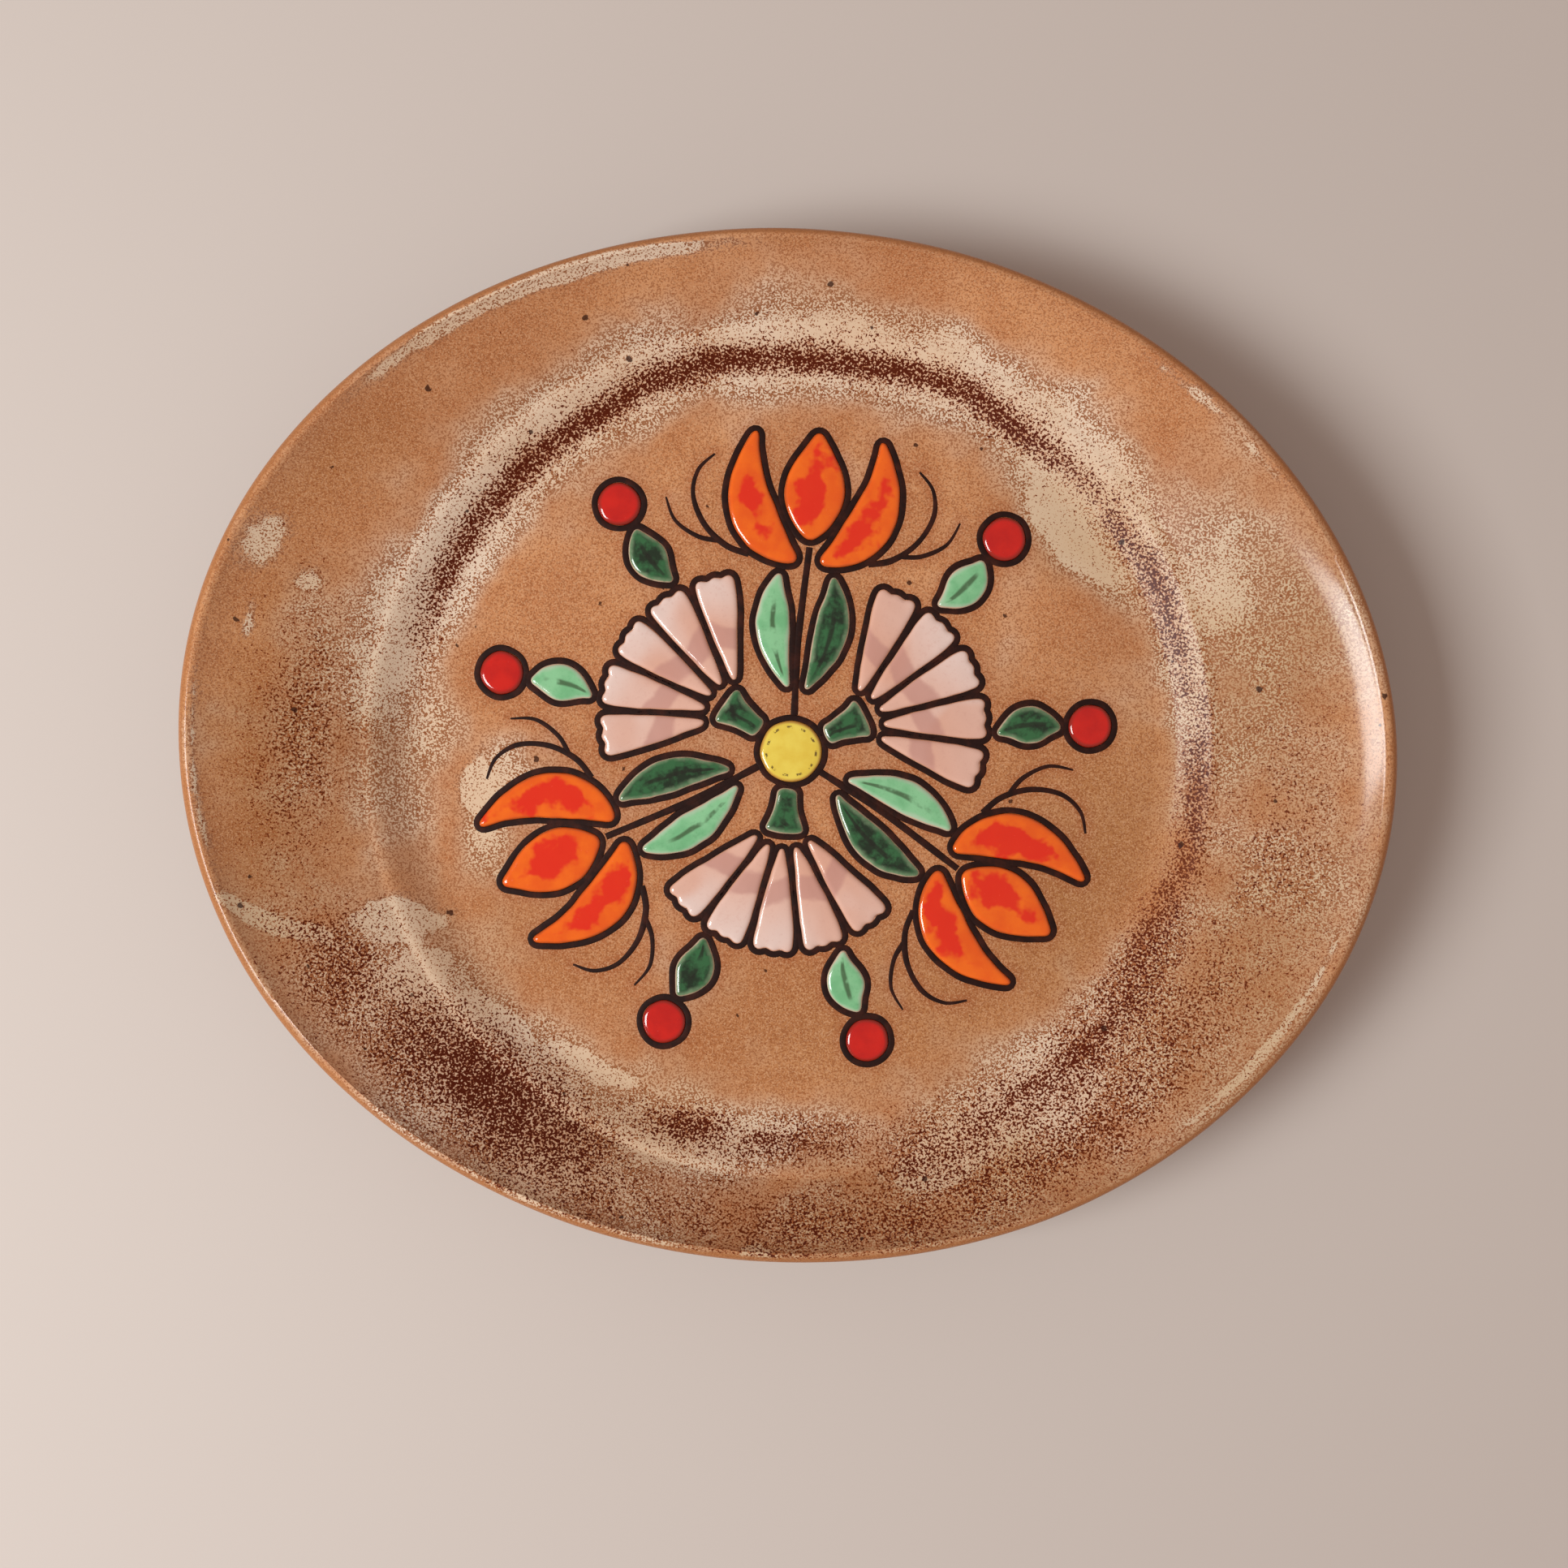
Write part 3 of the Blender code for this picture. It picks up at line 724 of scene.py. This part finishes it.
def mint_paint(place, cloud, fine):
    mint = cloud.over(0.35, 0.7).tint(seen(136, 200, 150), seen(112, 182, 130))
    mint = (fine.over(0.56, 0.72) * 0.25).tint(mint, seen(92, 152, 106))
    mint = (place.field("edge") + (cloud - 0.5) * 2.2).over(0.2, 1.3).tint(seen(166, 200, 168), mint)
    mint = (place.field("edge") + (cloud - 0.5) * 0.5).over(0.15, 0.45).tint(seen(206, 182, 158), mint)
    return (vein(place, cloud) * 0.8).tint(mint, seen(52, 74, 44))


def bottle_paint(place, cloud, fine):
    mottle = place.grain(260, 4.0, 0.62)
    deep = mottle.over(0.38, 0.62).tint(seen(12, 40, 22), seen(44, 100, 60))
    deep = (place.field("edge") + (mottle - 0.5) * 3.0).over(0.1, 1.5).tint(seen(112, 144, 108), deep)
    deep = (place.field("edge") + (mottle - 0.5) * 0.8).over(0.1, 0.45).tint(seen(196, 170, 146), deep)
    return (vein(place, cloud) * 0.8).tint(deep, seen(14, 22, 14))


def yellow_paint(place, cloud, fine):
    sunny = cloud.over(0.3, 0.7).tint(seen(234, 214, 90), seen(224, 196, 70))
    sunny = (place.field("edge") + (cloud - 0.5) * 1.0).over(0.1, 0.9).tint(seen(188, 138, 60), sunny)
    east = place.node("ShaderNodeSeparateXYZ", None, {0: place}, "X")
    north = place.node("ShaderNodeSeparateXYZ", None, {0: place}, "Y")
    turn = place.math("ARCTAN2", north, east) * (11 / math.tau)
    beside = place.math("PINGPONG", turn, 0.5) * 3.0
    ring = place.math("ABSOLUTE", place.field("edge") - 1.5 + (cloud - 0.5) * 0.6, 0.0)
    dot = place.math("MAXIMUM", beside, ring * 2.2)
    speckled = (1 - dot.over(0.40, 0.75)) * fine.over(0.38, 0.50)
    return (speckled * 0.85).tint(sunny, seen(74, 44, 20))


def red_paint(place, cloud, fine):
    ripe = cloud.over(0.3, 0.7).tint(seen(204, 24, 12), seen(184, 14, 10))
    return (place.field("edge") + (cloud - 0.5) * 1.2).over(0.1, 1.2).tint(seen(142, 28, 16), ripe)


enamels = {
    "orange_enamel": enamel("orange_enamel", orange_paint),
    "pink_enamel": enamel("pink_enamel", pink_paint),
    "mint_enamel": enamel("mint_enamel", mint_paint),
    "bottle_green_enamel": enamel("bottle_green_enamel", bottle_paint),
    "yellow_enamel": enamel("yellow_enamel", yellow_paint),
    "red_enamel": enamel("red_enamel", red_paint),
}
cells = {
    part["node"]: part["material_slot"]
    for part in frame["record"]["subparts"] if part["material_slot"] in enamels
}
for node, slot in cells.items():
    add_piece(node + "_pool", pool_mesh(node), enamels[slot], "plate", slot, node)

# The painted lines: manganese brown mixed with grease, drawn with a liner brush before the enamels
# go in. It keeps the pools apart and fires to a dry dark line, a little thicker where strokes end.
LINE_WIDTH = 0.00148
LINE_GAP = 0.0010
LINE_RELIEF = 0.11


def closed_line(name):
    """The line round one cell, running in the middle of the gap that its neighbours leave."""
    line = spread(cell_outline(name), LINE_GAP)
    radii = [LINE_WIDTH / 2 * (1 + 0.16 * noise.noise(Vector((*point, 0.1)) * 160)) for point in line]
    return [(*point, 0.0) for point in line], radii, True


def brush_stroke(points, width, taper=0.35):
    """A stroke through a few points, drawn fine at its end as the brush lifts."""
    places = [Vector(point) for point in points]
    fine = []
    for index in range(len(places) - 1):
        before = places[max(index - 1, 0)]
        here, ahead = places[index], places[index + 1]
        after = places[min(index + 2, len(places) - 1)]
        for step in range(12):
            t = step / 12
            fine.append(
                0.5 * (
                    2 * here + (ahead - before) * t
                    + (2 * before - 5 * here + 4 * ahead - after) * t * t
                    + (3 * here - before - 3 * ahead + after) * t ** 3
                )
            )
    fine.append(places[-1])
    radii = []
    for index, place in enumerate(fine):
        share = index / (len(fine) - 1)
        sway = 1 + 0.14 * noise.noise(Vector((place.x, place.y, 0.7)) * 180)
        radii.append(width / 2 * sway * (1 - (1 - taper) * share ** 2))
    return [(place.x, place.y, 0.0) for place in fine], radii, False


def turned(points, angle):
    """Points given outwards from the plate's middle, turned to an angle."""
    spin = Matrix.Rotation(math.radians(angle), 2)
    return [spin @ Vector(point) for point in points]


routes = [closed_line(node) for node in cells]
for repeat in range(3):
    tulip = 90 + 120 * repeat
    routes.append(brush_stroke(turned([(0.0085, 0), (0.026, 0.0007), (0.0478, 0)], tulip), 0.0017, 0.9))
    for side in (1, -1):
        whisker = [
            (0.0450, side * 0.0140), (0.0465, side * 0.0195), (0.0510, side * 0.0250),
            (0.0575, side * 0.0282), (0.0635, side * 0.0275), (0.0675, side * 0.0240),
        ]
        routes.append(brush_stroke(turned(whisker, tulip), 0.0015))
        frond = [
            (0.0475, side * 0.0212), (0.0480, side * 0.0262),
            (0.0512, side * 0.0318), (0.0565, side * 0.0345),
        ]
        routes.append(brush_stroke(turned(frond, tulip), 0.0012))

# A little of the line's colour bleeds into the glaze beside it.
BLEED = 0.0022
inked = np.array([place[:2] for route, _, _ in routes for place in route[::2]], np.float32)
halo = np.zeros(count)
for start in range(0, count, 2000):
    patch = places[start:start + 2000]
    if np.hypot(patch[:, 0], patch[:, 1]).min() > FLOOR_RADIUS + 0.004:
        continue
    gap = np.hypot(patch[:, None, 0] - inked[None, :, 0], patch[:, None, 1] - inked[None, :, 1]).min(1)
    halo[start:start + 2000] = np.exp(-(gap / BLEED) ** 2) * (patch[:, 2] > floor_top - 0.001)
set_field(dish_mesh, "halo", halo)


def manganese_line():
    """Dry dark brown paint, redder where it lies thin."""
    material, shader, place = new_material("manganese_line")
    cloud = place.grain(300, 3.0, 0.6)
    fine = place.grain(1800, 2.0, 0.6)
    feed(shader["Base Color"], cloud.over(0.4, 0.75).tint(seen(34, 14, 10), seen(58, 25, 16)))
    feed(shader["Roughness"], 0.50 + fine * 0.25)
    shader["Specular IOR Level"].default_value = 0.15
    feed(shader["Normal"], fine.bump(0.25, 0.0001))
    return material


line_mesh = tube_mesh("painted_lines", routes, 3)
line_mesh.transform(Matrix.Translation((0, 0, floor_top)) @ Matrix.Diagonal((1, 1, LINE_RELIEF, 1)))
add_piece("painted_lines", line_mesh, manganese_line(), "plate", "stoneware_glaze")

# The stage: a pale matt wall, laid flat under the plate, with window light from the left and below
# and a soft fill from the room, seen from in front by a camera turned with the hanging plate.
FOCAL_PIXELS = 1981
IMAGE_PIXELS = 1932
SENSOR = 36.0

bm = bmesh.new()
bmesh.ops.create_grid(bm, x_segments=1, y_segments=1, size=12.0)
wall_mesh = bpy.data.meshes.new("pale_wall")
bm.to_mesh(wall_mesh)
bm.free()
wall = bpy.data.objects.new("pale_wall", wall_mesh)
bpy.context.scene.collection.objects.link(wall)
wall_paint, shader, place = new_material("pale_wall")
shader["Base Color"].default_value = seen(201, 193, 187)
shader["Roughness"].default_value = 0.9
wall_mesh.materials.append(wall_paint)

camera_data = bpy.data.cameras.new("front_camera")
camera_data.sensor_width = SENSOR
camera_data.lens = SENSOR * FOCAL_PIXELS / IMAGE_PIXELS
camera = bpy.data.objects.new("front_camera", camera_data)
camera.location = (0.0, 0.0, 0.3891)
camera.rotation_euler = (math.radians(-1.17), math.radians(0.25), math.radians(5.21))
bpy.context.scene.collection.objects.link(camera)
bpy.context.scene.camera = camera


def add_lamp(name, place, aim, size, power, colour):
    """Hang a square area lamp that faces a point."""
    data = bpy.data.lights.new(name, "AREA")
    data.size = size
    data.energy = power
    data.color = colour
    lamp = bpy.data.objects.new(name, data)
    lamp.location = place
    lamp.rotation_euler = (Vector(aim) - Vector(place)).to_track_quat("-Z", "Y").to_euler()
    bpy.context.scene.collection.objects.link(lamp)


add_lamp(
    "window", place=(-0.68, -0.24, 0.80), aim=(0, 0, 0), size=0.42, power=9.6, colour=(0.98, 1.0, 1.0),
)
world = bpy.data.worlds.new("room")
world.use_nodes = True
fill = world.node_tree.nodes["Background"].inputs
fill["Color"].default_value = (1.0, 0.78, 0.68, 1.0)
fill["Strength"].default_value = 0.44
bpy.context.scene.world = world
bpy.context.scene.view_settings.view_transform = "Standard"
